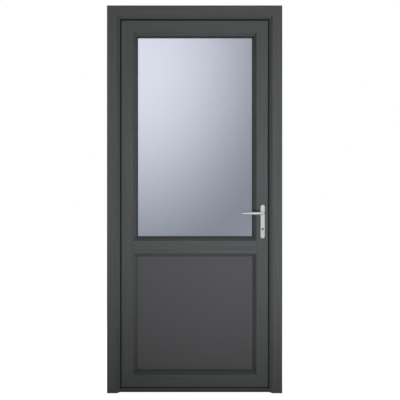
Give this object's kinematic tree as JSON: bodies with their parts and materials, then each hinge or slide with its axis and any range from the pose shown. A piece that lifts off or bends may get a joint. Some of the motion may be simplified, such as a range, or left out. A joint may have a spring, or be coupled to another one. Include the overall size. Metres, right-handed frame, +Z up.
{
  "type": "door in frame",
  "caption": "Half-glazed plastic entrance door: a grey leaf with obscure glass over a flat panel, hinged in a frame with a low threshold and lever handles.",
  "frame": {"origin": "under the middle of the threshold, half way through the depth of the frame", "axes": "+X to the right seen from outside, +Y inwards, +Z up"},
  "size_m": [0.945, 0.162, 2.09],
  "materials": {
    "upright_foil": "dark grey foil with a fine upright grain, satin",
    "level_foil": "dark grey foil with a fine level grain, satin",
    "panel_skin": "smooth dark grey skin, satin",
    "seal_rubber": "black, matt",
    "outer_glass": "obscure, softly frosted",
    "inner_glass": "clear",
    "spacer_metal": "satin",
    "threshold_metal": "dark grey powder coat",
    "hinge_paint": "dark grey powder coat",
    "lock_steel": "bright zinc plate",
    "handle_metal": "satin silver",
    "cylinder_metal": "satin nickel"
  },
  "bodies": {
    "frame": {"frame_hinge_jamb": "upright_foil", "frame_lock_jamb": "upright_foil", "frame_head": "level_foil", "threshold": "threshold_metal", "frame_stop_seal": "seal_rubber", "centre_keep": "lock_steel", "hook_keeps": "lock_steel", "hinge_pins": "hinge_paint", "hinge_frame_plate_bottom": "hinge_paint", "hinge_frame_plate_middle": "hinge_paint", "hinge_frame_plate_top": "hinge_paint"},
    "leaf": {"glass_bead_bottom": "level_foil", "glass_bead_hinge_side": "upright_foil", "glass_bead_lock_side": "upright_foil", "glass_bead_top": "level_foil", "glass_inner_pane": "inner_glass", "glass_inside_gasket": "seal_rubber", "glass_outer_pane": "outer_glass", "glass_outside_gasket": "seal_rubber", "glass_spacer_bar": "spacer_metal", "hinge_leaf_flag_bottom": "hinge_paint", "hinge_leaf_flag_middle": "hinge_paint", "hinge_leaf_flag_top": "hinge_paint", "hook_bolts": "lock_steel", "inside_backplate": "handle_metal", "key_cylinder": "cylinder_metal", "latch_bolt": "lock_steel", "leaf_bottom_rail": "level_foil", "leaf_flange_seal": "seal_rubber", "leaf_hinge_stile": "upright_foil", "leaf_lock_stile": "upright_foil", "leaf_mid_rail": "level_foil", "leaf_top_rail": "level_foil", "lock_faceplate": "lock_steel", "lower_panel": "panel_skin", "outside_backplate": "handle_metal", "panel_bead_bottom": "level_foil", "panel_bead_hinge_side": "upright_foil", "panel_bead_lock_side": "upright_foil", "panel_bead_top": "level_foil", "panel_inside_gasket": "seal_rubber", "panel_outside_gasket": "seal_rubber"},
    "lever": {"outside_lever": "handle_metal", "inside_lever": "handle_metal", "spindle": "lock_steel"}
  },
  "joints": [
    {"name": "leaf_hinge", "type": "hinge", "parent": "frame", "child": "leaf", "pos_m": [-0.4445, 0.045, 1.045], "axis": [0, 0, 1], "range_deg": [0, 110]},
    {"name": "lever_turn", "type": "hinge", "parent": "leaf", "child": "lever", "pos_m": [0.368, 0, 0.97], "axis": [0, -1, 0], "range_deg": [-40, 40], "stiffness_Nm_per_rad": 5}
  ]
}
